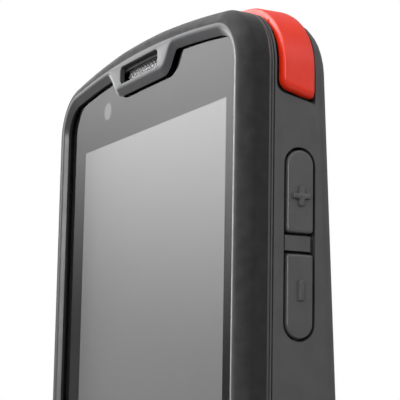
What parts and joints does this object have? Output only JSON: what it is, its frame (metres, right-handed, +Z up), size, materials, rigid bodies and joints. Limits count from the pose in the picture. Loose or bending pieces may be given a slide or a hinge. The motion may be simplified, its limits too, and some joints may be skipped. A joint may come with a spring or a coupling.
{
  "type": "barcode data terminal",
  "caption": "Rugged handheld touch-screen data terminal with scan window in the top end, side keys, corner key, hinged card door and tilt-out battery.",
  "frame": {"origin": "middle of the bottom end that the terminal stands on: centre of its width and depth, at the lowest point", "axes": "+Z up the length of the terminal to the scan window end, screen facing -Y, +X towards the side with the volume keys"},
  "size_m": [0.08, 0.019, 0.15],
  "materials": {
    "front_shell": "fine moulded texture",
    "housing_plastic": "fine moulded texture",
    "key_plastic": "satin",
    "trigger_plastic": "satin",
    "corner_key_red": "satin gloss",
    "cover_glass": "polished",
    "display": "smooth, idle grey",
    "woven_mesh": "dark woven mesh",
    "magnesium": "die cast",
    "circuit_board": "solder mask",
    "tinned_steel": "tinned",
    "flex_foil": "amber film",
    "gold_plate": "gold plated",
    "black_rubber": "matte",
    "dark_plastic": "moulded",
    "scan_glass": "dark red, polished",
    "camera_glass": "polished",
    "flash_plastic": "clear, frosted",
    "steel_screws": "bright",
    "brass_inserts": "turned",
    "cell_foil": "foil"
  },
  "bodies": {
    "terminal": {"front_frame": "front_shell", "screen_gasket": "black_rubber", "cover_glass": "cover_glass", "display_module": "display", "earpiece_grille": "woven_mesh", "earpiece_receiver": "tinned_steel", "front_camera": "dark_plastic", "chassis": "magnesium", "housing_seal": "black_rubber", "main_board": "circuit_board", "shield_cans": "tinned_steel", "board_screws": "steel_screws", "dock_board": "circuit_board", "dock_flex": "flex_foil", "usb_socket": "tinned_steel", "charge_contacts": "gold_plate", "microphone": "tinned_steel", "vibration_motor": "tinned_steel", "loudspeaker": "dark_plastic", "card_reader": "tinned_steel", "rear_housing": "housing_plastic", "scan_window": "scan_glass", "scan_engine": "dark_plastic", "scan_optics": "scan_glass", "scan_bracket": "tinned_steel", "rear_camera": "dark_plastic", "rear_camera_window": "camera_glass", "flash_lens": "flash_plastic", "antenna": "flex_foil", "volume_key_seal": "black_rubber", "key_switches": "gold_plate", "housing_screws": "steel_screws", "strap_inserts": "brass_inserts", "battery_contacts": "dark_plastic", "well_gasket": "black_rubber", "lanyard_pin": "steel_screws", "door_hinge_pin": "steel_screws"},
    "volume_up_key": {"volume_up_key": "key_plastic"},
    "volume_down_key": {"volume_down_key": "key_plastic"},
    "corner_key": {"corner_key": "corner_key_red"},
    "right_trigger": {"right_trigger": "trigger_plastic"},
    "left_trigger": {"left_trigger": "trigger_plastic"},
    "battery_pack": {"battery_case": "dark_plastic", "battery_cell": "cell_foil", "battery_cover": "housing_plastic", "battery_pads": "gold_plate"},
    "battery_latch": {"battery_latch": "key_plastic"},
    "card_door": {"card_door": "housing_plastic", "card_door_seal": "black_rubber"}
  },
  "joints": [
    {"name": "volume_up_press", "type": "slide", "parent": "terminal", "child": "volume_up_key", "axis": [-1, 0, 0], "range_m": [0, 0.0005], "stiffness_N_per_m": 200},
    {"name": "volume_down_press", "type": "slide", "parent": "terminal", "child": "volume_down_key", "axis": [-1, 0, 0], "range_m": [0, 0.0005], "stiffness_N_per_m": 200},
    {"name": "corner_key_press", "type": "slide", "parent": "terminal", "child": "corner_key", "axis": [-0.7071, 0, -0.7071], "range_m": [0, 0.0005], "stiffness_N_per_m": 200},
    {"name": "right_trigger_press", "type": "slide", "parent": "terminal", "child": "right_trigger", "axis": [-1, 0, 0], "range_m": [0, 0.0008], "stiffness_N_per_m": 200},
    {"name": "left_trigger_press", "type": "slide", "parent": "terminal", "child": "left_trigger", "axis": [1, 0, 0], "range_m": [0, 0.0008], "stiffness_N_per_m": 200},
    {"name": "battery_tilt", "type": "hinge", "parent": "terminal", "child": "battery_pack", "pos_m": [0, 0.0095, 0.0136], "axis": [-1, 0, 0], "range_deg": [0, 30]},
    {"name": "latch_slide", "type": "slide", "parent": "terminal", "child": "battery_latch", "axis": [1, 0, 0], "range_m": [0, 0.003]},
    {"name": "card_door_swing", "type": "hinge", "parent": "terminal", "child": "card_door", "pos_m": [-0.038, 0.0041, 0.10525], "axis": [0, 0, -1], "range_deg": [0, 100]}
  ]
}
